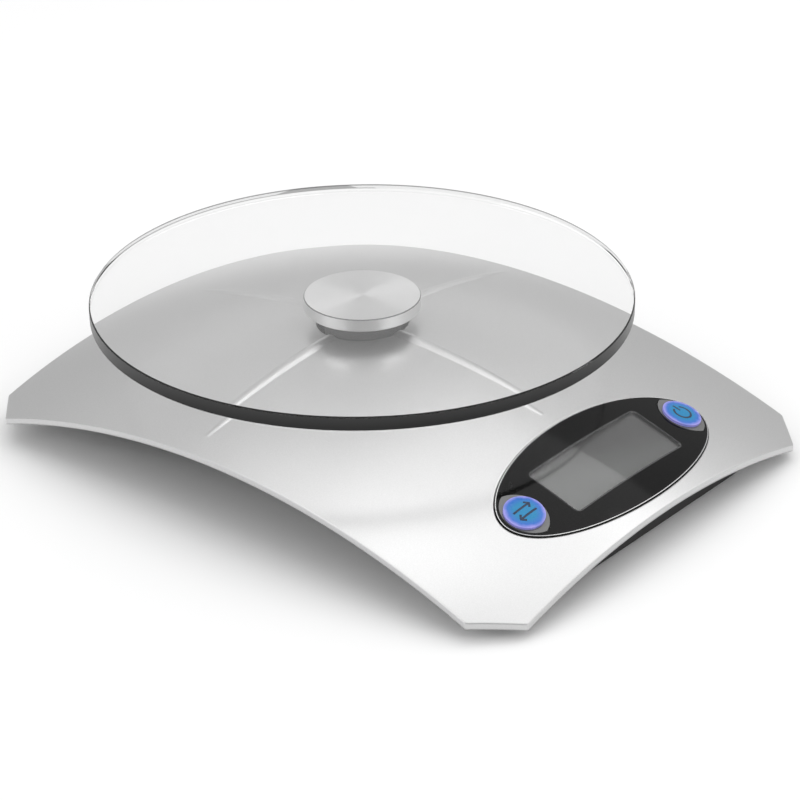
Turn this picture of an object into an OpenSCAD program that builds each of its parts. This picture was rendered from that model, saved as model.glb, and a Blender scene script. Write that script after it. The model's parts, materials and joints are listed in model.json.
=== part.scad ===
// Kitchen scale with a round glass platter on a domed case.
// The scale stands on its feet at z = 0.  +X is the user's right and +Y runs from the
// display at the front to the back.  The origin is under the middle of the footprint.

/* [Platter] */
// Diameter of the glass platter
glass_d = 180; // [178:1:190]
// Thickness of the glass platter
glass_t = 5; // [4:0.5:6]
// Diameter of the metal disc bonded under the glass
disc_d = 39; // [34:0.5:46]
// Thickness of the metal disc
disc_t = 4.4; // [4:0.2:6]
// Diameter of the post that carries the disc
post_d = 25.4; // [24:0.2:27]
// Height of the top of the glass above the table
scale_h = 50; // [49:0.5:54]
// Distance of the platter's axis behind the middle of the footprint
hub_y = 13; // [12:0.5:14]

/* [Case] */
// Length of the case from front to back
shell_len = 225; // [224:1:230]
// Width of the case at the front
shell_front_w = 168; // [164:1:172]
// Width of the case at the back
shell_back_w = 173; // [168:1:176]
// Length of the 45 degree cut across each corner, along one side
corner_cut = 13; // [10:0.5:16]
// Radius of the domed surface
dome_r = 317; // [312:1:322]
// Height of the dome's top above the table
dome_top = 35.7; // [35:0.1:36.4]
// Wall thickness of the dome
shell_t = 2; // [1.8:0.1:2.2]
// Diameter of the hole that the post passes through
hub_hole_d = 31; // [29:0.5:33]
// Height of the ridges beside the hub
ridge_h = 0.9; // [0.5:0.1:1.2]
// Distance from the hub at which a ridge has faded into the dome
ridge_len = 82; // [60:1:90]

/* [Base] */
// Width of the base tray's floor
tray_w = 108; // [106:1:110]
// Thickness of the tray's floor and walls
tray_t = 2; // [1.8:0.1:2.2]
// Gap between the table and the tray's floor
floor_gap = 2; // [1.5:0.1:2.5]
// Diameter of a rubber foot
foot_d = 12; // [10:0.5:13]

/* [Display] */
// Width of the oval display panel
panel_w = 99.4; // [98:0.2:102]
// Depth of the oval display panel, front to back
panel_d = 41.2; // [40:0.2:43]
// Width of the display window
window_w = 54.8; // [50:0.2:55.4]
// Depth of the display window, front to back
window_d = 20.4; // [18:0.2:21]
// Distance of each key from the middle of the panel
key_x = 41.3; // [40.6:0.1:41.6]
// Diameter of the round lens on a key
key_lens_d = 13.2; // [11:0.1:13.4]
// How far a key moves when it is pressed
key_travel = 0.5; // [0.3:0.1:0.6]

/* [Hidden] */

$fn = 96;
big_fn = 240;      // for the dome's spheres
eps = 0.01;
fit_gap = 0.25;    // clearance around a piece that slides or drops in
small_gap = 0.1;   // clearance between pieces that are screwed together
reach = 20;        // half length of a prism that cuts right through a wall
above = 5;         // height over the dome that a cutout clears
below = -10;       // depth under the dome that a cutout clears

// Platter stack, from the glass down
disc_top = scale_h - glass_t;
disc_bottom = disc_top - disc_t;
glass_bevel = 0.4;
disc_bevel = 0.3;
disc_socket = 3.2;         // depth of the disc's threaded hole
post_top_t = 4;            // material of the post above its screw's head

// Dome: its centre lies on the axis at dome_y
dome_y = hub_y - 9.6;       // the dome peaks a little in front of the platter's axis
dome_centre_z = dome_top - dome_r;
side_bow = 1.5;    // how far the long sides curve in
front_bow = 0.5;   // how far the front curves in
back_bow = 3;      // how far the back curves out
corner_round = 1.5;
ridge_tube_r = 3.5;        // radius of a ridge's rounded crest
ridge_inset = 3;           // how far inside the hub's hole a ridge starts
ridge_stop = 0.92;         // share of its fading length at which a ridge ends
ridge_fn = 720;

// Panel: tangent to the dome at panel_y, tilted towards the user
panel_y = hub_y - 101.3;   // its middle, in front of the platter's axis
panel_tilt = asin((dome_y - panel_y) / dome_r);
panel_t = 1.4;
panel_proud = 0.4;
panel_gap = 0.2;           // clearance around the panel in its recess
window_round = 1.5;
key_half_w = 6.9;
key_half_d = 9.2;
key_proud = 0.6;
key_flange = 1.2;          // how far the flange reaches past the key all round
flange_gap = 0.3;          // play between a key's flange and the dome above it
flange_top = -shell_t - flange_gap;
flange_t = 1;
key_lens_t = 0.7;
key_lens_rise = 0.5;       // how far a lens's top is domed
key_stem_d = 5;

// Display stack, measured down from the dome along the panel's normal
lcd_top = -2.6;
lcd_size = [57, 22.5, 2.4];
lcd_gap = 0.2;
holder_margin = [5, 5.5];  // how much wider the holder is than the display, in all
holder_opening = [-5, -4.5];
holder_top = lcd_top - 1.6;
strip_size = [50, 1.7];
strip_y = 8.1;
board_top = -12;
board_t = 1.6;
board_size = [103, 32];
board_shift = 2;           // the board reaches further back than forwards
switch_size = [6, 6, 3.4];
switch_floor = 0.8;        // thickness of a switch below its plunger's bore
plunger_d = 3.4;
plunger_top = -8;
plunger_bottom = board_top + 1.4;
plunger_gap = 0.06;
led_size = [3, 1.6, 1.4];
led_y = 6;
chip_at = [-20, 1];
chip_d = 14;
chip_h = 1.6;
chip_curve_r = 16.6;
board_screw_at = [47.8, 11.2];
board_hole_d = 2.4;
board_boss_d = 5;
board_boss_l = 12;
board_pilot_d = 2;
board_pilot_l = 5;

// Load cell: a bar along X under the platter's axis
bar_l = 80;
bar_w = 12.7;
bar_x = bar_l / 2;
bar_bottom = 9;
bar_top = bar_bottom + bar_w;
bar_hole_d = 9.5;
bar_hole_x = 7.5;
bar_slot_h = 4;            // height of the slot that joins the two big holes
bar_kerf = 0.3;            // cut that parts the fixed half from the moving half
bar_thread_d = 4;
cell_screw_x = [20, 35];
cell_hole_d = 4.4;
cell_head_hole_d = 8.4;
cell_head_z = 5.5;
seat_size = [26, 16];
spacer_l = 24;
cell_spacer_t = 1;
tip_spacer_t = 2;
gauge_pad = [18, 11, 0.8];
gauge_x = -4;
plate_t = 2;
plate_left = -18;
plate_w = 32;
plate_round = 5;
plate_hole_d = 9;
plate_bottom = bar_top + tip_spacer_t;
plate_top = plate_bottom + plate_t;
post_screw_y = 9.5;
post_hole_d = 3.4;
post_bore_d = 8;
post_thread_d = 3;
post_thread_l = 9;
stop_gap = 0.6;            // play under the bar's free end before it rests on its stop
stop_d = 7;

// Base tray
tray_top_z = 28;
tray_front = -shell_len / 2 + 7;
tray_back = 86;
tray_round = 7;
tray_flare_w = 50;         // how much wider the tray is at its top
tray_flare_front = 5;
tray_flare_back = 18;
tray_dome_gap = 0.2;
floor_top = floor_gap + tray_t;
foot_at = [[-42, -92], [42, -92], [-42, 72], [42, 72]];
foot_h = floor_gap + 1;
foot_bevel = 0.8;
case_screw_at = [[-44, -60], [44, -60], [-44, 45], [44, 45]];
standoff_top = 7;
standoff_d = 9;
case_head_z = 5;
case_head_hole_d = 6.6;
case_hole_d = 3.4;
case_boss_d = 7;
case_pilot_d = 3;
case_pilot_l = 13;

// Battery compartment: two AAA cells side by side along X
cell_d = 10.5;
cell_l = 44.5;
cell_pitch = cell_d + 0.6;
cell_round = 0.5;
cell_cap_r = 1.9;
cell_cap_h = 1;
bay_y = [43, 66];
bay_mid = (bay_y[0] + bay_y[1]) / 2;
bay_half_x = 26.5;
bay_wall = 1.5;
bay_floor = 4.3;
bay_ceiling = 15.7;
bay_roof_t = 1.7;
cell_z = bay_floor + 0.5 + cell_d / 2;
contact_t = 0.5;
contact_h = 8;
contact_gap = 0.1;
cone_r = [3.2, 1.4];
door_half_x = 28.5;
door_tongue_x = 30;
door_front = 40;
door_t = 1.4;
door_play = 0.2;
door_pad = [3, 2];         // how far the pad reaches past the door's tongue and its front edge
channel_l = 60;
grip_count = 5;
grip_pitch = 2.5;
grip_back = 6;
grip_size = [18, 1.2, 0.5];

// Screws: diameter of the shank, length, diameter of the head, height of the head
CASE_SCREW = [2.9, 12, 5.6, 1.8];
BOARD_SCREW = [1.9, 6, 4.2, 1.3];
CELL_SCREW = [3.9, 12, 7.4, 2.4];
POST_SCREW = [2.9, 8, 5.2, 1.4];
HUB_SCREW = [3.9, 7, 7, 2.6];

// Wires
wire_d = 1;
thick_wire_d = 1.2;
wire_start_gap = 0.05;

SILVER = [0.78, 0.78, 0.78];
BLACK = [0.05, 0.05, 0.05];

// ---------------------------------------------------------------- shared shapes

// Height of the dome's outer surface at a place in plan
function dome_z(x, y) = dome_centre_z + sqrt(pow(dome_r, 2) - x * x - pow(y - dome_y, 2));

// Points of a side from a to b that bows by sag to its left
function bowed(a, b, sag, n = 24) = [
    for (i = [0:n])
        let (t = i / n, along = b - a, out = [-along[1], along[0]] / norm(along))
        a + along * t + out * sag * 4 * t * (1 - t)
];

// Everything inside the dome when its wall is offset by d
module dome_ball(d = 0) {
    translate([0, dome_y, dome_centre_z])
        sphere(r = dome_r + d, $fn = big_fn);
}

// Frame of the display panel: +Z is the dome's normal at the panel's middle
module at_panel() {
    translate([0, panel_y, dome_z(0, panel_y)])
        rotate([panel_tilt, 0, 0])
            children();
}

// Dome ball as seen from the panel's frame
module panel_ball(d = 0) {
    translate([0, 0, -dome_r])
        sphere(r = dome_r + d, $fn = big_fn);
}

// A prism over an outline, kept between two offsets of the dome (panel's frame)
module panel_layer(low, high) {
    difference() {
        intersection() {
            translate([0, 0, -reach])
                linear_extrude(2 * reach)
                    children();
            panel_ball(high);
        }
        panel_ball(low);
    }
}

// A block standing on a face, centred in X and Y
module block(x, y, z, size) {
    translate([x - size[0] / 2, y - size[1] / 2, z])
        cube(size);
}

module rounded_rect(w, d, r) {
    hull()
        for (x = [-1, 1], y = [-1, 1])
            translate([x * (w / 2 - r), y * (d / 2 - r)])
                circle(r, $fn = 32);
}

module oval(w, d) {
    scale([w / 2, d / 2])
        circle(1);
}

// Pointed leaf outline: two arcs that meet at the front and the back
module leaf(half_w, half_d) {
    r = (pow(half_w, 2) + pow(half_d, 2)) / (2 * half_w);
    intersection() {
        translate([r - half_w, 0])
            circle(r);
        translate([half_w - r, 0])
            circle(r);
    }
}

// Pan-head screw with a cross slot; the head's seat is at z = 0 and the shank points up
module screw(kind) {
    head_d = kind[2];
    head_h = kind[3];
    slot = [0.6 * head_d, 0.16 * head_d, 0.5 * head_h];
    cylinder(d = kind[0], h = kind[1]);
    difference() {
        translate([0, 0, -head_h])
            cylinder(d = head_d, h = head_h);
        for (a = [0, 90])
            rotate([0, 0, a])
                block(0, 0, -head_h - eps, slot);
    }
}

function unit(v) = v / norm(v);

// Direction of a route at its point i: the mean of the stretches on both sides
function heading(route, i) = unit(
    (i > 0 ? unit(route[i] - route[i - 1]) : [0, 0, 0])
    + (i < len(route) - 1 ? unit(route[i + 1] - route[i]) : [0, 0, 0])
);

// Ring of points around a route's point i, square to its heading
function ring(route, i, r, sides) =
    let (along = heading(route, i), u = unit(cross(along, [1, 0, 0])), v = cross(along, u))
    [for (k = [0:sides - 1]) route[i] + r * (cos(k * 360 / sides) * u + sin(k * 360 / sides) * v)];

// A wire of diameter d swept through a list of points
module wire(route, d) {
    sides = 8;
    last = len(route) - 1;
    rings = [for (i = [0:last]) each ring(route, i, d / 2, sides)];
    walls = [
        for (i = [0:last - 1], k = [0:sides - 1])
            let (a = i * sides + k, b = i * sides + (k + 1) % sides)
            each [[a, a + sides, b], [b, a + sides, b + sides]]
    ];
    start = [for (k = [0:sides - 1]) k];
    end = [for (k = [sides - 1:-1:0]) last * sides + k];
    polyhedron(points = rings, faces = concat(walls, [start, end]));
}

// ---------------------------------------------------------------- case

module shell_outline() {
    y0 = -shell_len / 2;
    y1 = shell_len / 2 - back_bow;
    f = shell_front_w / 2;
    b = shell_back_w / 2;
    c = corner_cut;
    offset(r = corner_round)
        offset(delta = -corner_round)
            polygon(concat(
                bowed([-f + c, y0], [f - c, y0], front_bow),
                bowed([f, y0 + c], [b, y1 - c], side_bow),
                bowed([b - c, y1], [-b + c, y1], -back_bow),
                bowed([-b, y1 - c], [-f, y0 + c], side_bow)
            ));
}

// Four low ridges that start at the hub's hole and sink towards the dome on their way out
module ridges() {
    curve = 1 / (1 / dome_r + 2 * ridge_h / pow(ridge_len, 2));
    lean = asin((hub_y - dome_y) / dome_r);
    start = asin((hub_hole_d / 2 - ridge_inset) / curve);
    end = asin(ridge_stop * ridge_len / curve);
    difference() {
        translate([0, hub_y, dome_z(0, hub_y)])
            rotate([-lean, 0, 0])
                for (a = [0, 90, 180, 270])
                    rotate([90, 0, a])
                        translate([0, ridge_h - curve, 0])
                            rotate([0, 0, 90 - end])
                                rotate_extrude(angle = end - start, $fn = ridge_fn)
                                    translate([curve - ridge_tube_r, 0])
                                        circle(ridge_tube_r, $fn = 48);
        dome_ball(-shell_t / 2);
    }
}

module top_shell() {
    color(SILVER) {
        difference() {
            union() {
                difference() {
                    intersection() {
                        dome_ball();
                        linear_extrude(dome_top + 1)
                            shell_outline();
                    }
                    dome_ball(-shell_t);
                }
                ridges();
            }
            translate([0, hub_y, 0])
                cylinder(d = hub_hole_d, h = scale_h);
            at_panel() {
                panel_layer(panel_proud - panel_t, above)
                    oval(panel_w + 2 * panel_gap, panel_d + 2 * panel_gap);
                panel_layer(below, above) {
                    square([lcd_size[0] + 2 * fit_gap, lcd_size[1] + 2 * fit_gap], center = true);
                    for (side = [-1, 1])
                        translate([side * key_x, 0])
                            leaf(key_half_w + fit_gap, key_half_d + fit_gap);
                }
            }
        }
        shell_bosses();
    }
}

// Screw bosses under the dome, for the tray and for the board
module shell_bosses() {
    intersection() {
        dome_ball(-shell_t / 2);
        for (p = case_screw_at)
            translate([p[0], p[1], standoff_top + small_gap])
                difference() {
                    cylinder(d = case_boss_d, h = dome_top);
                    translate([0, 0, -eps])
                        cylinder(d = case_pilot_d, h = case_pilot_l);
                }
    }
    at_panel()
        intersection() {
            panel_ball(-shell_t / 2);
            for (x = [-1, 1], y = [-1, 1])
                translate([x * board_screw_at[0], y * board_screw_at[1], board_top])
                    difference() {
                        cylinder(d = board_boss_d, h = board_boss_l);
                        translate([0, 0, -eps])
                            cylinder(d = board_pilot_d, h = board_pilot_l);
                    }
        }
}

// Tray's outline at height z: it widens upwards so that its walls meet the dome
module tray_slice(z, inset, h) {
    rise = (z - floor_gap) / (tray_top_z - floor_gap);
    w = tray_w + tray_flare_w * rise - 2 * inset;
    front = tray_front - tray_flare_front * rise + inset;
    back = tray_back + tray_flare_back * rise - inset;
    translate([0, (front + back) / 2, z])
        linear_extrude(h)
            rounded_rect(w, back - front, tray_round);
}

module tray_body() {
    difference() {
        hull() {
            tray_slice(floor_gap, 0, eps);
            tray_slice(tray_top_z, 0, eps);
        }
        hull() {
            tray_slice(floor_top, tray_t, eps);
            tray_slice(tray_top_z + 1, tray_t, eps);
        }
    }
}

module base_tray() {
    pad_half_x = door_tongue_x + door_pad[0];
    pad_front = door_front - door_pad[1];
    channel_y = door_front - fit_gap + channel_l / 2;
    groove_z = floor_gap + door_t / 2 - fit_gap;
    color(BLACK)
        difference() {
            union() {
                intersection() {
                    tray_body();
                    dome_ball(-shell_t - tray_dome_gap);
                }
                // standoffs under the shell's bosses
                for (p = case_screw_at)
                    translate([p[0], p[1], floor_gap])
                        cylinder(d = standoff_d, h = standoff_top - floor_gap);
                // seat under the fixed end of the load cell
                block(seat_size[0] / 2 - bar_x, hub_y, floor_gap,
                    [seat_size[0], seat_size[1], bar_bottom - cell_spacer_t - floor_gap]);
                // overload stop under its free end
                translate([bar_x - 5, hub_y, floor_gap])
                    cylinder(d = stop_d, h = bar_bottom - stop_gap - floor_gap);
                // battery compartment and the pad that carries its door
                block(0, (pad_front + tray_back) / 2, floor_gap,
                    [2 * pad_half_x, tray_back - pad_front, bay_floor + bay_roof_t - floor_gap]);
                block(0, bay_mid, floor_gap,
                    [2 * (bay_half_x + bay_wall), bay_y[1] - bay_y[0] + 2 * bay_wall,
                    bay_ceiling + bay_wall - floor_gap]);
            }
            for (p = foot_at)
                translate([p[0], p[1], 0])
                    cylinder(d = foot_d + 2 * small_gap, h = foot_h);
            for (p = case_screw_at)
                translate([p[0], p[1], 0]) {
                    cylinder(d = case_head_hole_d, h = case_head_z);
                    cylinder(d = case_hole_d, h = standoff_top + above);
                }
            for (x = cell_screw_x)
                translate([-x, hub_y, 0]) {
                    cylinder(d = cell_head_hole_d, h = cell_head_z);
                    cylinder(d = cell_hole_d, h = bar_bottom + above);
                }
            // battery bay, open downwards
            block(0, bay_mid, 0,
                [2 * bay_half_x, bay_y[1] - bay_y[0], bay_ceiling]);
            // door channel and the grooves for its tongues, open to the back
            block(0, channel_y, 0,
                [2 * (door_half_x + fit_gap), channel_l, floor_gap + door_t + door_play]);
            block(0, channel_y, groove_z,
                [2 * (door_tongue_x + fit_gap), channel_l, bay_floor - groove_z]);
        }
}

module rubber_feet() {
    color([0.12, 0.12, 0.12])
        for (p = foot_at)
            translate([p[0], p[1], 0])
                rotate_extrude()
                    polygon([[0, 0], [foot_d / 2 - foot_bevel, 0], [foot_d / 2, foot_bevel],
                        [foot_d / 2, foot_h], [0, foot_h]]);
}

module case_screws() {
    color("silver")
        for (p = case_screw_at)
            translate([p[0], p[1], case_head_z])
                screw(CASE_SCREW);
}

// ---------------------------------------------------------------- display

module display_panel() {
    color(BLACK)
        at_panel()
            difference() {
                panel_layer(panel_proud - panel_t, panel_proud)
                    oval(panel_w, panel_d);
                panel_layer(below, above) {
                    rounded_rect(window_w, window_d, window_round);
                    for (side = [-1, 1])
                        translate([side * key_x, 0])
                            leaf(key_half_w + fit_gap, key_half_d + fit_gap);
                }
            }
}

module display_window() {
    color([0.5, 0.5, 0.5, 0.6])
        at_panel()
            panel_layer(panel_proud - panel_t, panel_proud)
                rounded_rect(window_w, window_d, window_round);
}

module lcd_cell() {
    color([0.45, 0.46, 0.46])
        at_panel()
            block(0, 0, lcd_top - lcd_size[2], lcd_size);
}

module lcd_holder() {
    outside = [for (i = [0, 1]) lcd_size[i] + holder_margin[i]];
    pocket = [for (i = [0, 1]) lcd_size[i] + 2 * lcd_gap];
    opening = [for (i = [0, 1]) lcd_size[i] + holder_opening[i]];
    color(BLACK)
        at_panel()
            difference() {
                block(0, 0, board_top, [outside[0], outside[1], holder_top - board_top]);
                block(0, 0, lcd_top - lcd_size[2], [pocket[0], pocket[1], above]);
                block(0, 0, board_top - eps, [opening[0], opening[1], reach]);
            }
}

module zebra_strips() {
    color("dimgray")
        at_panel()
            for (side = [-1, 1])
                block(0, side * strip_y, board_top,
                    [strip_size[0], strip_size[1], lcd_top - lcd_size[2] - board_top]);
}

module main_board() {
    color("darkgreen")
        at_panel()
            difference() {
                block(0, board_shift, board_top - board_t, [board_size[0], board_size[1], board_t]);
                for (x = [-1, 1], y = [-1, 1])
                    translate([x * board_screw_at[0], y * board_screw_at[1], board_top - reach / 2])
                        cylinder(d = board_hole_d, h = reach);
            }
}

module controller_chip() {
    color(BLACK)
        at_panel()
            translate([chip_at[0], chip_at[1], board_top - board_t])
                intersection() {
                    translate([0, 0, chip_curve_r - chip_h])
                        sphere(r = chip_curve_r);
                    translate([0, 0, -above])
                        cylinder(d = chip_d, h = above);
                }
}

module key_switches() {
    color(BLACK)
        at_panel()
            for (side = [-1, 1])
                translate([side * key_x, 0, board_top])
                    difference() {
                        block(0, 0, 0, switch_size);
                        translate([0, 0, switch_floor])
                            cylinder(d = plunger_d + 2 * plunger_gap, h = above);
                    }
}

module button_leds() {
    color("white")
        at_panel()
            for (side = [-1, 1], end = [-1, 1])
                block(side * key_x, end * led_y, board_top, led_size);
}

module board_screws() {
    color("silver")
        at_panel()
            for (x = [-1, 1], y = [-1, 1])
                translate([x * board_screw_at[0], y * board_screw_at[1], board_top - board_t])
                    screw(BOARD_SCREW);
}

// A key: leaf-shaped cap, a flange that stops it under the dome, and a stem to its switch
module key(side) {
    color([0.55, 0.56, 0.57])
        at_panel()
            translate([side * key_x, 0, 0]) {
                shifted_layer(side, flange_top - flange_t, key_proud)
                    leaf(key_half_w, key_half_d);
                shifted_layer(side, flange_top - flange_t, flange_top)
                    leaf(key_half_w + key_flange, key_half_d + key_flange);
                translate([0, 0, plunger_top])
                    cylinder(d = key_stem_d, h = flange_top - flange_t / 2 - key_drop() - plunger_top);
            }
}

// How far the dome has fallen below the panel's middle at a key
function key_drop() = dome_r - sqrt(pow(dome_r, 2) - pow(key_x, 2));

// A dome layer as seen from a key's own axis
module shifted_layer(side, low, high) {
    translate([-side * key_x, 0, 0])
        panel_layer(low, high)
            translate([side * key_x, 0])
                children();
}

module key_lens(side) {
    rise = key_lens_rise;
    lens_r = (pow(key_lens_d / 2, 2) + rise * rise) / (2 * rise);
    lean = asin(key_x / dome_r);
    color([0.2, 0.6, 0.9])
        at_panel()
            translate([side * key_x, 0, 0])
                difference() {
                    translate([0, 0, -key_drop()])
                        rotate([0, side * lean, 0])
                            intersection() {
                                cylinder(d = key_lens_d, h = above);
                                translate([0, 0, key_proud + key_lens_t + rise - lens_r])
                                    sphere(r = lens_r);
                            }
                    translate([-side * key_x, 0, 0])
                        panel_ball(key_proud);
                }
}

module plunger(side) {
    color("gray")
        at_panel()
            translate([side * key_x, 0, plunger_bottom])
                cylinder(d = plunger_d, h = plunger_top - plunger_bottom);
}

module unit_key() {
    key(-1);
}

module unit_key_lens() {
    key_lens(-1);
}

module unit_plunger() {
    plunger(-1);
}

module tare_key() {
    key(1);
}

module tare_key_lens() {
    key_lens(1);
}

module tare_plunger() {
    plunger(1);
}

// ---------------------------------------------------------------- weighing

// Whole load cell bar with its double-hole cutout and screw holes
module bar() {
    difference() {
        block(0, hub_y, bar_bottom, [bar_l, bar_w, bar_w]);
        for (x = [-1, 1])
            translate([x * bar_hole_x, hub_y, bar_bottom + bar_w / 2])
                rotate([90, 0, 0])
                    cylinder(d = bar_hole_d, h = 2 * bar_w, center = true);
        block(0, hub_y, bar_bottom + (bar_w - bar_slot_h) / 2,
            [2 * bar_hole_x, 2 * bar_w, bar_slot_h]);
        for (x = cell_screw_x, side = [-1, 1])
            translate([side * x, hub_y, 0])
                cylinder(d = bar_thread_d, h = scale_h);
    }
}

module load_cell_base() {
    cut = bar_hole_x - bar_kerf / 2;
    color("gainsboro")
        intersection() {
            bar();
            translate([cut - bar_l, hub_y - bar_w, 0])
                cube([bar_l, 2 * bar_w, scale_h]);
        }
}

module load_cell_tip() {
    cut = bar_hole_x + bar_kerf / 2;
    color("gainsboro")
        intersection() {
            bar();
            translate([cut, hub_y - bar_w, 0])
                cube([bar_l, 2 * bar_w, scale_h]);
        }
}

module gauge_sealant() {
    color("white") {
        block(gauge_x, hub_y, bar_top, gauge_pad);
        block(gauge_x, hub_y, bar_bottom - gauge_pad[2], gauge_pad);
    }
}

module cell_spacer() {
    color("silver")
        difference() {
            block(spacer_l / 2 - bar_x, hub_y, bar_bottom - cell_spacer_t,
                [spacer_l, bar_w, cell_spacer_t]);
            for (x = cell_screw_x)
                translate([-x, hub_y, 0])
                    cylinder(d = cell_hole_d, h = scale_h);
        }
}

module cell_screws() {
    color("silver")
        for (x = cell_screw_x)
            translate([-x, hub_y, cell_head_z])
                screw(CELL_SCREW);
}

module tip_spacer() {
    color("silver")
        difference() {
            block(bar_x - spacer_l / 2, hub_y, bar_top, [spacer_l, bar_w, tip_spacer_t]);
            for (x = cell_screw_x)
                translate([x, hub_y, 0])
                    cylinder(d = cell_hole_d, h = scale_h);
        }
}

// Steel plate from the bar's free end back to the platter's axis
module load_plate() {
    color("silver")
        difference() {
            translate([(plate_left + bar_x) / 2, hub_y, plate_bottom])
                linear_extrude(plate_t)
                    rounded_rect(bar_x - plate_left, plate_w, plate_round);
            for (x = cell_screw_x)
                translate([x, hub_y, 0])
                    cylinder(d = cell_hole_d, h = scale_h);
            for (side = [-1, 1])
                translate([0, hub_y + side * post_screw_y, 0])
                    cylinder(d = post_hole_d, h = scale_h);
            translate([0, hub_y, 0])
                cylinder(d = plate_hole_d, h = scale_h);
        }
}

module tip_screws() {
    color("silver")
        for (x = cell_screw_x)
            translate([x, hub_y, plate_top])
                rotate([180, 0, 0])
                    screw(CELL_SCREW);
}

module platter_post() {
    color([0.5, 0.5, 0.5])
        translate([0, hub_y, 0])
            difference() {
                translate([0, 0, plate_top])
                    cylinder(d = post_d, h = disc_bottom - plate_top);
                cylinder(d = post_bore_d, h = disc_bottom - post_top_t);
                cylinder(d = cell_hole_d, h = scale_h);
                for (side = [-1, 1])
                    translate([0, side * post_screw_y, 0])
                        cylinder(d = post_thread_d, h = plate_top + post_thread_l);
            }
}

module post_screws() {
    color("silver")
        for (side = [-1, 1])
            translate([0, hub_y + side * post_screw_y, plate_bottom])
                screw(POST_SCREW);
}

module hub_screw() {
    color("silver")
        translate([0, hub_y, disc_bottom - post_top_t])
            screw(HUB_SCREW);
}

module platter_disc() {
    color([0.8, 0.8, 0.8])
        translate([0, hub_y, 0])
            difference() {
                translate([0, 0, disc_bottom])
                    rotate_extrude()
                        polygon([[0, 0], [disc_d / 2 - disc_bevel, 0], [disc_d / 2, disc_bevel],
                            [disc_d / 2, disc_t - disc_bevel], [disc_d / 2 - disc_bevel, disc_t],
                            [0, disc_t]]);
                cylinder(d = bar_thread_d, h = disc_bottom + disc_socket);
            }
}

module glass_platter() {
    r = glass_d / 2;
    color([0.85, 0.92, 0.9, 0.3])
        translate([0, hub_y, disc_top])
            rotate_extrude($fn = big_fn)
                polygon([[0, 0], [r - glass_bevel, 0], [r, glass_bevel],
                    [r, glass_t - glass_bevel], [r - glass_bevel, glass_t], [0, glass_t]]);
}

// Four thin wires from the load cell to the back edge of the board
module cell_wires() {
    side_y = hub_y - bar_w / 2 - wire_start_gap;
    color("firebrick")
        for (i = [0:3])
            wire([
                [-12 + 1.6 * i, side_y, 15],
                [-12 + 1.6 * i, -4, 15],
                [-20 + 2 * i, -24, 7],
                [-20 + 2 * i, -58, 7],
                [-20 + 2 * i, -64, 18],
                [-20 + 2 * i, -67.4, 19]
            ], wire_d);
}

// ---------------------------------------------------------------- battery

module battery_cells() {
    r = cell_d / 2;
    half_l = cell_l / 2;
    shoulder = half_l - cell_cap_h;
    color("goldenrod")
        for (i = [0, 1])
            translate([0, bay_mid + (i - 0.5) * cell_pitch, cell_z])
                rotate([0, i == 0 ? 90 : -90, 0])
                    rotate_extrude()
                        polygon([[0, -half_l], [r - cell_round, -half_l],
                            [r, cell_round - half_l], [r, shoulder - cell_round],
                            [r - cell_round, shoulder], [cell_cap_r, shoulder],
                            [cell_cap_r, half_l], [0, half_l]]);
}

// Spring plates at both ends of the bay, each with a cone that presses on a cell
module battery_contacts() {
    plate_x = bay_half_x - contact_gap - contact_t / 2;
    cone_l = plate_x - (cell_l + contact_gap) / 2;
    low = cell_z - contact_h / 2;
    color("silver") {
        // one plate joins both cells, the other two are the terminals
        block(plate_x, bay_mid, low, [contact_t, 2 * cell_pitch - 2, contact_h]);
        for (i = [-0.5, 0.5])
            block(-plate_x, bay_mid + i * cell_pitch, low, [contact_t, cell_pitch - 2, contact_h]);
        for (i = [-0.5, 0.5], side = [-1, 1])
            translate([side * plate_x, bay_mid + i * cell_pitch, cell_z])
                rotate([0, -90 * side, 0])
                    cylinder(r1 = cone_r[0], r2 = cone_r[1], h = cone_l);
    }
}

// Two wires from the battery terminals to the board, under the load cell
module battery_wires() {
    front_wall = bay_y[0] - bay_wall;
    color("red")
        for (i = [0, 1])
            wire([
                [-22 + 3 * i, front_wall - wire_start_gap, 12],
                [-22 + 3 * i, front_wall - 5, 12],
                [6 + 3 * i, 28, 6.5],
                [6 + 3 * i, -10, 6.5],
                [20 + 3 * i, -30, 6.5],
                [20 + 3 * i, -58, 7],
                [20 + 3 * i, -64, 18],
                [20 + 3 * i, -67.4, 19]
            ], thick_wire_d);
}

module battery_door() {
    door_l = tray_back - door_front;
    color(BLACK)
        difference() {
            union() {
                block(0, door_front + door_l / 2, floor_gap, [2 * door_half_x, door_l, door_t]);
                block(0, door_front + door_l / 2, floor_gap + door_t / 2,
                    [2 * door_tongue_x, door_l, bay_floor - door_play - floor_gap - door_t / 2]);
            }
            for (i = [0:grip_count - 1])
                block(0, tray_back - grip_back - grip_pitch * i, floor_gap - eps, grip_size);
        }
}

top_shell();
base_tray();
rubber_feet();
case_screws();
display_panel();
display_window();
lcd_cell();
lcd_holder();
zebra_strips();
main_board();
controller_chip();
key_switches();
button_leds();
board_screws();
unit_key();
unit_key_lens();
unit_plunger();
tare_key();
tare_key_lens();
tare_plunger();
load_cell_base();
load_cell_tip();
gauge_sealant();
cell_spacer();
cell_screws();
cell_wires();
tip_spacer();
load_plate();
tip_screws();
platter_post();
post_screws();
hub_screw();
platter_disc();
glass_platter();
battery_cells();
battery_contacts();
battery_wires();
battery_door();
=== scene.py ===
"""Looks of the kitchen scale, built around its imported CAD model."""
import json
import math

import bmesh
import bpy
from mathutils import Matrix, Vector
from mathutils.bvhtree import BVHTree


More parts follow.
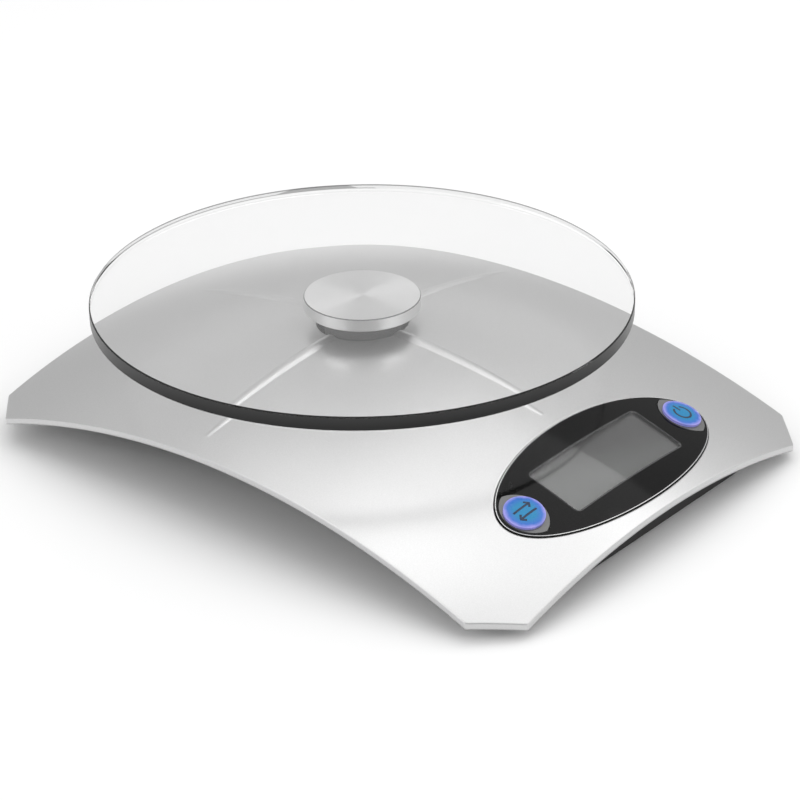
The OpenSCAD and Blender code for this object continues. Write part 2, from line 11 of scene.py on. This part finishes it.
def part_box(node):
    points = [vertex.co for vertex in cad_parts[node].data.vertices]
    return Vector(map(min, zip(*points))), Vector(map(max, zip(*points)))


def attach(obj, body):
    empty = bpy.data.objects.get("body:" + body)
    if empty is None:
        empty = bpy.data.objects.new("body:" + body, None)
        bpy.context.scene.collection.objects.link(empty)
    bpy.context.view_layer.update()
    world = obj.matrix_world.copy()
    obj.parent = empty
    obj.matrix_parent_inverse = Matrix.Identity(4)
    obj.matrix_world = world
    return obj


MM = 0.001
ACROSS = Vector((1, 0, 0))
UP = Vector((0, 0, 1))

# The case: radius of the dome that its top follows, as in the part's source, and the rounding
# of its rolled edges, which only its material has
DOME_RADIUS = 317 * MM
SHELL_EDGE_RADIUS = 0.7 * MM
# Gap between the disc and the glass on it, so that their faces don't coincide
DISC_GAP = 0.03 * MM

# Strokes are half-round ridges on a node's top: longest step along a line, sides of the
# profile, height above the node's middle from which its top is looked for, and depth below it
STROKE_STEP = 0.5 * MM
STROKE_SIDES = 6
STROKE_SEARCH = 5 * MM
STROKE_SINK = 0.02 * MM

# Camera: seen from the front left, a little from above, with a long lens
CAMERA_AZIMUTH = -49.31
CAMERA_ELEVATION = 27.58
CAMERA_ROLL = -0.59
CAMERA_DISTANCE = 855.5 * MM
CAMERA_LENS = 116.43
CAMERA_SENSOR = 36.0
# Where the middle of the glass lies from the optical axis: left of it and above it
GLASS_LEFT = 12.5 * MM
GLASS_UP = 36.5 * MM

# Square soft lights: azimuth, elevation, distance, width and power
LIGHTS = {
    "key": (98, 63, 1.6, 1.0, 2.4),
    "right": (68, 42, 1.8, 0.8, 2.5),
    "front": (10, 24, 1.8, 1.0, 6.5),
    "left": (-108, 24, 1.8, 1.0, 6.5),
    "back": (175, 72, 1.8, 1.2, 2.6),
}

# Studio dome: grey at the horizon and white from a height up. On the camera's side it is
# darker, which sets in between two cosines of the angle to the camera's azimuth
SKY_HORIZON = 0.50
SKY_WHITE_FROM = 0.9
SKY_STRENGTH = 0.9
SKY_DARK_SIDE = 0.35
SKY_DARK_FROM = 0.55
SKY_DARK_TO = 0.95
FLOOR_HALF = 6.0

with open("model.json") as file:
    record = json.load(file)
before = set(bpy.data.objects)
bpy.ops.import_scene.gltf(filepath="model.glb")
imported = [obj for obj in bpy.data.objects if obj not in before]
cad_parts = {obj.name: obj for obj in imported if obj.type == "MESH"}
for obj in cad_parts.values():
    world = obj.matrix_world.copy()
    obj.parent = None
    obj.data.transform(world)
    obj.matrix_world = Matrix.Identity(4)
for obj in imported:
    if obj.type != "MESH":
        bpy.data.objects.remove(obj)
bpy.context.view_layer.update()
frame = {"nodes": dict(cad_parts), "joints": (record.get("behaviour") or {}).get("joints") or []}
nodes = frame["nodes"]

# The display panel's own directions: out of its face, and up along it
PRESS = Vector(next(j["axis"] for j in frame["joints"] if j["name"] == "unit_press"))
NORMAL = -PRESS.normalized()
UPWARDS = NORMAL.cross(ACROSS)


def middle(name):
    """The middle of a CAD node's box."""
    low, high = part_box(name)
    return (low + high) / 2


def span(name):
    """How far a CAD node reaches along the panel's two directions."""
    spots = [vertex.co for vertex in nodes[name].data.vertices]
    reaches = [[spot.dot(along) for spot in spots] for along in (ACROSS, UPWARDS)]
    return [max(reach) - min(reach) for reach in reaches]


def towards(azimuth, elevation):
    """Direction from the scale to a place around it; azimuth 0 is in front."""
    a = math.radians(azimuth)
    e = math.radians(elevation)
    return Vector((math.sin(a) * math.cos(e), -math.cos(a) * math.cos(e), math.sin(e)))


def add_object(name, data):
    piece = bpy.data.objects.new(name, data)
    bpy.context.scene.collection.objects.link(piece)
    return piece


# ---------------------------------------------------------------- node helpers

class Tree:
    """A material's or a world's node tree, with short calls that add nodes and link them."""

    def __init__(self, owner, output="ShaderNodeOutputMaterial"):
        owner.use_nodes = True
        self.owner = owner
        self.nodes = owner.node_tree.nodes
        self.links = owner.node_tree.links
        self.nodes.clear()
        self.output = self.add(output)

    def add(self, kind, inputs=None, **settings):
        """Adds a node; inputs maps a socket's name or number to a value or to another socket."""
        node = self.nodes.new(kind)
        for key, value in settings.items():
            setattr(node, key, value)
        for key, value in (inputs or {}).items():
            if isinstance(value, bpy.types.NodeSocket):
                self.links.new(value, node.inputs[key])
            else:
                node.inputs[key].default_value = value
        return node

    def coords(self):
        return self.add("ShaderNodeTexCoord").outputs["Object"]

    def noise(self, scale, detail=4.0):
        inputs = {"Vector": self.coords(), "Scale": scale, "Detail": detail, "Roughness": 0.5}
        return self.add("ShaderNodeTexNoise", inputs).outputs["Fac"]

    def stretch(self, value, low, high):
        """Maps 0..1 to low..high."""
        inputs = {"Value": value, "To Min": low, "To Max": high}
        return self.add("ShaderNodeMapRange", inputs).outputs["Result"]

    def math(self, operation, a, b=0.0):
        return self.add("ShaderNodeMath", {0: a, 1: b}, operation=operation).outputs[0]

    def mix(self, factor, a, b):
        """Mixes two colours."""
        inputs = {0: factor, 6: a, 7: b}
        return self.add("ShaderNodeMix", inputs, data_type="RGBA").outputs[2]

    def vector(self, operation, a, b=(0, 0, 0)):
        """A vector operation: a dot product or a length gives a number, the rest a vector."""
        node = self.add("ShaderNodeVectorMath", {0: a, 1: b}, operation=operation)
        return node.outputs["Value" if operation in ("DOT_PRODUCT", "LENGTH") else "Vector"]

    def scaled(self, vector, factor):
        inputs = {0: vector, "Scale": factor}
        return self.add("ShaderNodeVectorMath", inputs, operation="SCALE").outputs["Vector"]

    def bump(self, height, distance, edge_radius=0.0):
        """Bumps the surface, over edges that are rounded first if a radius is given."""
        inputs = {"Height": height, "Distance": distance}
        if edge_radius:
            inputs["Normal"] = self.add("ShaderNodeBevel", {"Radius": edge_radius},
                                        samples=8).outputs[0]
        return self.add("ShaderNodeBump", inputs).outputs["Normal"]

    def principled(self, inputs):
        return self.add("ShaderNodeBsdfPrincipled", inputs)

    def finish(self, shader):
        self.links.new(shader, self.output.inputs["Surface"])
        return self.owner


def material_tree(name):
    return Tree(bpy.data.materials.new(name))


def grey(value):
    return (value, value, value, 1)


def speckled(name, dark, light, rough, grain=900.0, depth=0.02 * MM, metallic=0.0, **extra):
    """A moulded, coated or metal surface: fine grain in colour, roughness and bump."""
    t = material_tree(name)
    grain_value = t.noise(grain)
    cloud = t.noise(30.0, 3.0)
    colour = t.mix(t.math("MULTIPLY", grain_value, cloud), dark, light)
    inputs = {
        "Base Color": colour,
        "Roughness": t.stretch(cloud, rough[0], rough[1]),
        "Normal": t.bump(grain_value, depth),
        "Metallic": metallic,
    }
    for socket, value in extra.items():
        inputs[socket.replace("_", " ")] = value
    return t.finish(t.principled(inputs).outputs[0])


# ---------------------------------------------------------------- materials

def satin_silver():
    """The case's silver coat: a soft metallic sheen with a very fine flake."""
    t = material_tree("satin_silver")
    flake = t.noise(2600.0, 2.0)
    cloud = t.noise(14.0, 3.0)
    colour = t.mix(flake, grey(0.56), grey(0.66))
    return t.finish(t.principled({
        "Base Color": colour,
        "Metallic": 0.85,
        "Roughness": t.stretch(cloud, 0.29, 0.34),
        "Normal": t.bump(flake, 0.006 * MM, SHELL_EDGE_RADIUS),
        "Coat Weight": 0.15,
        "Coat Roughness": 0.2,
    }).outputs[0])


def spun_metal():
    """Disc turned on a lathe: circular lines about its own axis, stretched highlights."""
    t = material_tree("spun_metal")
    offset = t.vector("SUBTRACT", t.coords(), middle("platter_disc"))
    radius = t.vector("LENGTH", t.vector("MULTIPLY", offset, (1, 1, 0)))
    rings = t.add("ShaderNodeTexNoise", {"W": radius, "Scale": 6000.0, "Detail": 3.0},
                  noise_dimensions="1D").outputs["Fac"]
    tangent = t.add("ShaderNodeTangent", direction_type="RADIAL", axis="Z").outputs[0]
    return t.finish(t.principled({
        "Base Color": t.mix(rings, grey(0.76), grey(0.90)),
        "Metallic": 0.95,
        "Roughness": t.stretch(rings, 0.26, 0.34),
        "Anisotropic": 0.85,
        "Tangent": tangent,
        "Normal": t.bump(rings, 0.002 * MM),
    }).outputs[0])


def lit_from_behind(t, shader, tint):
    """Lets lamps and soft light pass straight through a clear shader."""
    path = t.add("ShaderNodeLightPath")
    passes = t.math("MAXIMUM", path.outputs["Is Shadow Ray"], path.outputs["Is Diffuse Ray"])
    clear = t.add("ShaderNodeBsdfTransparent", {"Color": tint}).outputs[0]
    return t.add("ShaderNodeMixShader", {0: passes, 1: shader, 2: clear}).outputs[0]


def clear_glass():
    """Float glass with a very light grey tint."""
    t = material_tree("clear_glass")
    smudge = t.noise(60.0, 2.0)
    glass = t.principled({
        "Base Color": grey(1.0),
        "Roughness": t.stretch(smudge, 0.0, 0.012),
        "IOR": 1.52,
        "Transmission Weight": 1.0,
    }).outputs[0]
    return t.finish(lit_from_behind(t, glass, grey(0.97)))


def ground_edge():
    """The glass's ground rim: dark from outside, with painted shading that makes it lighter towards
    its top; a grey veil from inside.
    """
    low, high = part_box("glass_platter")
    t = material_tree("ground_edge")
    grain = t.noise(2500.0, 2.0)
    height = t.add("ShaderNodeSeparateXYZ", {0: t.coords()}).outputs["Z"]
    share = t.add("ShaderNodeMapRange", {"Value": height, "From Min": low.z, "From Max": high.z})
    # painted shading: from outside the rim runs from near black at its bottom to dark grey at its
    # top, for how light falls on it
    painted_rim_shade = t.mix(share.outputs["Result"], grey(0.003), grey(0.04))
    outside = t.principled({
        "Base Color": t.mix(t.stretch(grain, 0.0, 0.3), painted_rim_shade, grey(0.03)),
        "Roughness": t.stretch(grain, 0.25, 0.35),
        "Normal": t.bump(grain, 0.004 * MM),
        "Specular IOR Level": 0.25,
    }).outputs[0]
    ground_from = 0.6
    ground = t.math("GREATER_THAN", share.outputs["Result"], ground_from)
    veil = t.mix(ground, grey(0.92), grey(0.32))
    inside = t.add("ShaderNodeBsdfTransparent", {"Color": veil}).outputs[0]
    back = t.add("ShaderNodeNewGeometry").outputs["Backfacing"]
    rim = t.add("ShaderNodeMixShader", {0: back, 1: outside, 2: inside}).outputs[0]
    return t.finish(lit_from_behind(t, rim, grey(0.97)))


def gloss_black():
    """Polished black acrylic with faint hairline ripples."""
    t = material_tree("gloss_black")
    ripple = t.noise(25.0, 2.0)
    dust = t.noise(900.0, 2.0)
    return t.finish(t.principled({
        "Base Color": t.mix(dust, grey(0.003), grey(0.007)),
        "Roughness": t.stretch(dust, 0.05, 0.10),
        "Normal": t.bump(ripple, 0.05 * MM),
        "IOR": 1.49,
        "Specular IOR Level": 0.13,
    }).outputs[0])


def domed_normal(t):
    """The exact normal of a face that follows the case's dome, above or below; else the mesh's."""
    parallel = 0.9
    centre = middle("display_panel") - NORMAL * DOME_RADIUS
    exact = t.vector("NORMALIZE", t.vector("SUBTRACT", t.coords(), centre))
    meshed = t.add("ShaderNodeNewGeometry").outputs["Normal"]
    along = t.vector("DOT_PRODUCT", exact, meshed)
    facing = t.scaled(exact, t.math("SIGN", along))
    follows = t.math("GREATER_THAN", t.math("ABSOLUTE", along), parallel)
    inputs = {0: follows, 4: meshed, 5: facing}
    return t.add("ShaderNodeMix", inputs, data_type="VECTOR").outputs[1]


def smoked_window():
    t = material_tree("smoked_window")
    dust = t.noise(700.0, 2.0)
    pane = t.principled({
        "Base Color": grey(0.80),
        "Roughness": t.stretch(dust, 0.01, 0.05),
        "IOR": 1.49,
        "Normal": domed_normal(t),
        "Specular IOR Level": 0.35,
        "Transmission Weight": 1.0,
    }).outputs[0]
    return t.finish(lit_from_behind(t, pane, grey(0.75)))


def lcd_grey():
    """Blank LCD under its polariser: fine dots, with a painted shadow of the window's edge that
    darkens it towards its back right corner.
    """
    low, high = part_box("lcd_cell")
    t = material_tree("lcd_grey")
    dots = t.noise(3500.0, 1.0)
    cloud = t.noise(40.0, 2.0)
    place = t.add("ShaderNodeSeparateXYZ", {0: t.coords()})
    shares = [t.add("ShaderNodeMapRange", {"Value": place.outputs[axis], "From Min": low[axis],
                                           "From Max": high[axis]}).outputs["Result"]
              for axis in (0, 1)]
    across = t.math("ADD", t.math("MULTIPLY", shares[0], 0.6), t.math("MULTIPLY", shares[1], 0.7))
    # painted shadow: the LCD turns near black towards its back right corner, where the window's
    # edge shades it
    painted_window_shadow = t.add("ShaderNodeMapRange", {
        "Value": t.math("ADD", across, t.math("MULTIPLY", cloud, 0.15)),
        "From Min": 0.5,
        "From Max": 1.1,
    }, interpolation_type="SMOOTHSTEP").outputs["Result"]
    light = t.mix(dots, (0.16, 0.17, 0.165, 1), (0.195, 0.205, 0.20, 1))
    return t.finish(t.principled({
        "Base Color": t.mix(painted_window_shadow, light, grey(0.045)),
        "Roughness": t.stretch(dots, 0.3, 0.4),
        "Normal": t.bump(dots, 0.003 * MM),
        "Coat Weight": 0.4,
        "Coat Roughness": 0.1,
    }).outputs[0])


def key_grey():
    return speckled("key_grey", grey(0.10), grey(0.17), (0.18, 0.28), grain=700.0,
                    depth=0.005 * MM, Coat_Weight=0.6, Coat_Roughness=0.08)


def blue_with_painted_glow(node):
    """A key's lens: blue in the middle, turning lilac towards its edge, and glowing faintly in
    these colours as painted light.
    """
    low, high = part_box(node)
    reach = (high.x - low.x) / 2
    t = material_tree("blue_with_painted_glow_" + node)
    radius = t.vector("LENGTH", t.vector("SUBTRACT", t.coords(), middle(node)))
    share = t.math("DIVIDE", radius, reach)
    cloud = t.noise(260.0, 2.0)
    wobble = t.math("ADD", share, t.math("MULTIPLY", t.math("SUBTRACT", cloud, 0.5), 0.25))
    ramp = t.add("ShaderNodeValToRGB", {0: wobble})
    stops = ramp.color_ramp.elements
    stops[0].position = 0.55
    stops[0].color = (0.002, 0.20, 0.42, 1)
    stops[1].position = 1.0
    stops[1].color = (0.30, 0.28, 0.70, 1)
    between = stops.new(0.82)
    between.color = (0.03, 0.14, 0.52, 1)
    return t.finish(t.principled({
        "Base Color": ramp.outputs[0],
        "Roughness": t.stretch(cloud, 0.22, 0.32),
        "Normal": t.bump(cloud, 0.03 * MM),
        # painted glow: the lens emits its own colours faintly, though no lamp lights it
        "Emission Color": ramp.outputs[0],
        "Emission Strength": 0.12,
        "Specular IOR Level": 0.3,
        "Coat Weight": 0.15,
        "Coat Roughness": 0.12,
    }).outputs[0])


def board_green():
    """Solder mask with raised copper tracks under it."""
    t = material_tree("board_green")
    tracks = t.add("ShaderNodeTexVoronoi", {"Vector": t.coords(), "Scale": 260.0},
                   distance="CHEBYCHEV", feature="DISTANCE_TO_EDGE").outputs["Distance"]
    line = t.math("LESS_THAN", tracks, 0.09)
    return t.finish(t.principled({
        "Base Color": t.mix(line, (0.012, 0.10, 0.035, 1), (0.03, 0.22, 0.07, 1)),
        "Roughness": t.stretch(t.noise(80.0), 0.25, 0.4),
        "Normal": t.bump(line, 0.03 * MM),
    }).outputs[0])


def white_floor():
    """Matt white paper; from below it can be looked through."""
    t = material_tree("white_floor")
    cloud = t.noise(3.0, 2.0)
    paper = t.principled({
        "Base Color": t.mix(cloud, grey(0.94), grey(0.97)),
        "Roughness": 0.8,
        "Specular IOR Level": 0.1,
    }).outputs[0]
    clear = t.add("ShaderNodeBsdfTransparent").outputs[0]
    back = t.add("ShaderNodeNewGeometry").outputs["Backfacing"]
    return t.finish(t.add("ShaderNodeMixShader", {0: back, 1: paper, 2: clear}).outputs[0])


def dress(material, *names):
    """Gives CAD nodes one material."""
    for name in names:
        mesh = nodes[name].data
        mesh.materials.clear()
        mesh.materials.append(material)


def dress_cad():
    dress(satin_silver(), "top_shell")
    dress(speckled("matt_black", grey(0.004), grey(0.012), (0.5, 0.62), grain=1300.0,
                   depth=0.03 * MM), "base_tray", "battery_door", "lcd_holder", "key_switches")
    dress(speckled("foot_rubber", grey(0.03), grey(0.06), (0.75, 0.9), grain=800.0,
                   depth=0.04 * MM), "rubber_feet")
    dress(speckled("zinc_steel", grey(0.45), grey(0.62), (0.28, 0.42), grain=500.0,
                   metallic=1.0), "case_screws", "board_screws", "cell_screws", "tip_screws",
          "post_screws", "hub_screw", "cell_spacer", "tip_spacer", "load_plate",
          "battery_contacts")
    dress(speckled("machined_aluminium", grey(0.66), grey(0.80), (0.25, 0.38), grain=300.0,
                   metallic=1.0), "load_cell_base", "load_cell_tip")
    dress(speckled("post_plastic", grey(0.07), grey(0.12), (0.35, 0.45), grain=900.0),
          "platter_post")
    dress(speckled("plunger_plastic", grey(0.16), grey(0.22), (0.4, 0.5)),
          "unit_plunger", "tare_plunger")
    dress(speckled("white_silicone", grey(0.70), grey(0.80), (0.5, 0.7), grain=250.0,
                   depth=0.1 * MM), "gauge_sealant")
    dress(speckled("epoxy_black", grey(0.01), grey(0.02), (0.15, 0.25), grain=120.0),
          "controller_chip")
    dress(speckled("strip_rubber", grey(0.10), grey(0.20), (0.5, 0.6), grain=2500.0),
          "zebra_strips")
    dress(speckled("led_body", grey(0.60), grey(0.75), (0.2, 0.3)), "button_leds")
    dress(speckled("wire_red", (0.30, 0.01, 0.01, 1), (0.45, 0.03, 0.02, 1), (0.4, 0.5)),
          "cell_wires", "battery_wires")
    dress(speckled("cell_foil", (0.45, 0.30, 0.05, 1), (0.60, 0.42, 0.10, 1), (0.25, 0.35),
                   metallic=0.7), "battery_cells")
    dress(board_green(), "main_board")
    dress(lcd_grey(), "lcd_cell")
    dress(gloss_black(), "display_panel")
    dress(smoked_window(), "display_window")
    dress(key_grey(), "unit_key", "tare_key")
    for lens in ("unit_key_lens", "tare_key_lens"):
        dress(blue_with_painted_glow(lens), lens)


def dress_glass():
    """Clear faces and bevels, and the ground wall of the rim as a second material."""
    platter = nodes["glass_platter"].data
    dress(clear_glass(), "glass_platter")
    platter.materials.append(ground_edge())
    steep = 0.3
    for face in platter.polygons:
        face.material_index = 1 if abs(face.normal.z) < steep else 0


def shrink(name, gap):
    """Draws a CAD node back from its neighbours by a hair, where their faces would coincide."""
    skin = nodes[name].modifiers.new("hairline_gap", "DISPLACE")
    skin.strength = -gap
    skin.mid_level = 0.0


def dress_disc():
    """Spun metal, with the chamfer under the glass dark grey, as painted shade of the hairline gap
    between disc and glass.
    """
    disc = nodes["platter_disc"].data
    dress(spun_metal(), "platter_disc")
    # painted shade: the sloped faces of the disc's top chamfer are dark grey, for the shade in the
    # gap under the glass
    disc.materials.append(speckled("chamfer_painted_shade", grey(0.10), grey(0.16), (0.3, 0.4)))
    waist = middle("platter_disc").z
    steepest = 0.3
    flattest = 0.95
    for face in disc.polygons:
        sloped = steepest < abs(face.normal.z) < flattest
        face.material_index = 1 if sloped and face.center.z > waist else 0


# ---------------------------------------------------------------- marks and beads

def divided(corners):
    """Points along a line, no further apart than a stroke's longest step needs."""
    points = []
    for a, b in zip(corners, corners[1:]):
        pieces = max(1, round((Vector(b) - Vector(a)).length / STROKE_STEP))
        points += [Vector(a).lerp(Vector(b), k / pieces) for k in range(pieces)]
    points.append(Vector(corners[-1]))
    return points


def stroke(name, base, body, lines, width, height, material):
    """Draws lines as low rounded ridges on a node's top. Points are (right, up) from its middle."""
    origin = middle(base)
    mesh = nodes[base].data
    tree = BVHTree.FromPolygons([v.co for v in mesh.vertices],
                                [tuple(p.vertices) for p in mesh.polygons])
    build = bmesh.new()
    profile = arc(1, 0, 180, STROKE_SIDES)
    for corners in lines:
        line = divided(corners)
        rings = []
        for i, point in enumerate(line):
            before = line[max(i - 1, 0)]
            after = line[min(i + 1, len(line) - 1)]
            along = (after - before).normalized()
            side = Vector((-along.y, along.x))
            ring = []
            for c, s in profile:
                flat = point + side * c * width / 2
                place = origin + ACROSS * flat.x + UPWARDS * flat.y
                hit = tree.ray_cast(place + NORMAL * STROKE_SEARCH, -NORMAL)[0]
                ring.append(build.verts.new(hit + NORMAL * (s * height - STROKE_SINK)))
            rings.append(ring)
        for a, b in zip(rings, rings[1:]):
            for k in range(len(profile) - 1):
                build.faces.new((a[k], a[k + 1], b[k + 1], b[k]))
            build.faces.new((a[-1], a[0], b[0], b[-1]))
        build.faces.new(list(reversed(rings[0])))
        build.faces.new(rings[-1])
    bmesh.ops.recalc_face_normals(build, faces=build.faces)
    shape = bpy.data.meshes.new(name)
    build.to_mesh(shape)
    build.free()
    for face in shape.polygons:
        face.use_smooth = True
    shape.materials.append(material)
    mark = add_object(name, shape)
    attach(mark, body)


def arc(radius, start, end, steps=24):
    """Points of a round stretch about the origin, between two angles in degrees."""
    angles = [math.radians(start + (end - start) * k / steps) for k in range(steps + 1)]
    return [(radius * math.cos(a), radius * math.sin(a)) for a in angles]


def key_marks():
    """Generic marks: two opposed arrows on the unit key, a power sign on the tare key."""
    ink = speckled("mark_ink", (0.005, 0.02, 0.06, 1), (0.01, 0.03, 0.08, 1), (0.4, 0.5))
    reach = 3.6 * MM
    row = 1.5 * MM
    head = 1.3 * MM
    arrows = []
    for sign in (-1, 1):
        tip = (sign * reach, sign * row)
        arrows.append([(-tip[0], tip[1]), tip])
        arrows.append([(tip[0] - sign * head, tip[1] + head), tip,
                       (tip[0] - sign * head, tip[1] - head)])
    width = 0.8 * MM
    height = 0.08 * MM
    stroke("unit_mark", "unit_key_lens", "unit_button", arrows, width, height, ink)
    ring = 2.9 * MM
    power = [arc(ring, 120, 420), [(0, ring * 0.35), (0, ring * 1.35)]]
    stroke("tare_mark", "tare_key_lens", "tare_button", power, width, height, ink)


def panel_highlight_beads():
    """Silver beads drawn where edges show a light line, as painted highlights: a bright one around
    the display panel, and a thinner one around its window.
    """
    # painted highlight: a silver ridge along the panel's edge stands in for the light line its
    # rounded edge shows
    highlight_silver = speckled("panel_edge_highlight", grey(0.55), grey(0.70), (0.2, 0.3), metallic=0.9)
    inset = 0.25 * MM
    half = [size / 2 - inset for size in span("display_panel")]
    oval = [(half[0] * x, half[1] * y) for x, y in arc(1, 0, 360, 96)]
    stroke("panel_bead", "display_panel", "root", [oval], 0.35 * MM, 0.1 * MM, highlight_silver)
    corner = 1.5 * MM
    reach = [size / 2 - corner for size in span("display_window")]
    outline = []
    for k, (x, y) in enumerate(((1, 1), (-1, 1), (-1, -1), (1, -1))):
        bend = arc(corner + inset, 90 * k, 90 * k + 90, 6)
        outline += [(x * reach[0] + u, y * reach[1] + v) for u, v in bend]
    outline.append(outline[0])
    # painted highlight: a thin grey metal ridge around the window stands in for the light line
    # along its edge
    stroke("window_bead", "display_panel", "root", [outline], 0.2 * MM, 0.04 * MM,
           speckled("window_edge_highlight", grey(0.16), grey(0.24), (0.2, 0.3), metallic=0.9))


# ---------------------------------------------------------------- stage

def add_floor():
    mesh = bpy.data.meshes.new("floor")
    signs = ((-1, -1), (1, -1), (1, 1), (-1, 1))
    corners = [(x * FLOOR_HALF, y * FLOOR_HALF, 0) for x, y in signs]
    mesh.from_pydata(corners, [], [(0, 1, 2, 3)])
    mesh.materials.append(white_floor())
    floor = add_object("floor", mesh)


def add_light(name, azimuth, elevation, distance, size, power):
    """A square soft light that looks at the middle of the scale's footprint."""
    lamp = bpy.data.lights.new(name, "AREA")
    lamp.size = size
    lamp.energy = power
    light = add_object(name, lamp)
    place = towards(azimuth, elevation)
    light.location = place * distance
    light.rotation_euler = place.to_track_quat("Z", "Y").to_euler()


def add_world():
    """A studio dome: grey at the horizon, white overhead and darker on the camera's side."""
    world = bpy.data.worlds.new("studio")
    bpy.context.scene.world = world
    t = Tree(world, "ShaderNodeOutputWorld")
    view = t.add("ShaderNodeTexCoord").outputs["Generated"]
    ramp = t.add("ShaderNodeValToRGB", {0: t.add("ShaderNodeSeparateXYZ", {0: view}).outputs["Z"]})
    horizon, overhead = ramp.color_ramp.elements
    horizon.position = 0.0
    horizon.color = grey(SKY_HORIZON)
    overhead.position = SKY_WHITE_FROM
    overhead.color = grey(1.0)
    side = t.add("ShaderNodeMapRange", {
        "Value": t.vector("DOT_PRODUCT", view, towards(CAMERA_AZIMUTH, 0)),
        "From Min": SKY_DARK_FROM,
        "From Max": SKY_DARK_TO,
        "To Min": 1.0,
        "To Max": SKY_DARK_SIDE,
    }, interpolation_type="SMOOTHSTEP").outputs["Result"]
    sky = t.scaled(ramp.outputs[0], side)
    inputs = {"Color": sky, "Strength": SKY_STRENGTH}
    t.finish(t.add("ShaderNodeBackground", inputs).outputs[0])


def add_camera():
    """The photo's camera, placed from the middle of the glass's top."""
    backward = towards(CAMERA_AZIMUTH, CAMERA_ELEVATION)
    level = UP.cross(backward).normalized()
    above = backward.cross(level)
    roll = math.radians(CAMERA_ROLL)
    right = level * math.cos(roll) + above * math.sin(roll)
    up = above * math.cos(roll) - level * math.sin(roll)
    glass = middle("glass_platter")
    glass.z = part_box("glass_platter")[1].z
    place = glass + right * GLASS_LEFT - up * GLASS_UP + backward * CAMERA_DISTANCE
    lens = bpy.data.cameras.new("camera")
    lens.lens = CAMERA_LENS
    lens.sensor_width = CAMERA_SENSOR
    lens.clip_start = 10 * MM
    camera = add_object("camera", lens)
    axes = Matrix((right, up, backward)).transposed().to_4x4()
    camera.matrix_world = Matrix.Translation(place) @ axes
    bpy.context.scene.camera = camera


add_camera()
dress_cad()
dress_disc()
dress_glass()
shrink("platter_disc", DISC_GAP)
key_marks()
panel_highlight_beads()
add_floor()
add_world()
for light_name, settings in LIGHTS.items():
    add_light(light_name, *settings)
bpy.context.scene.view_settings.view_transform = "Standard"
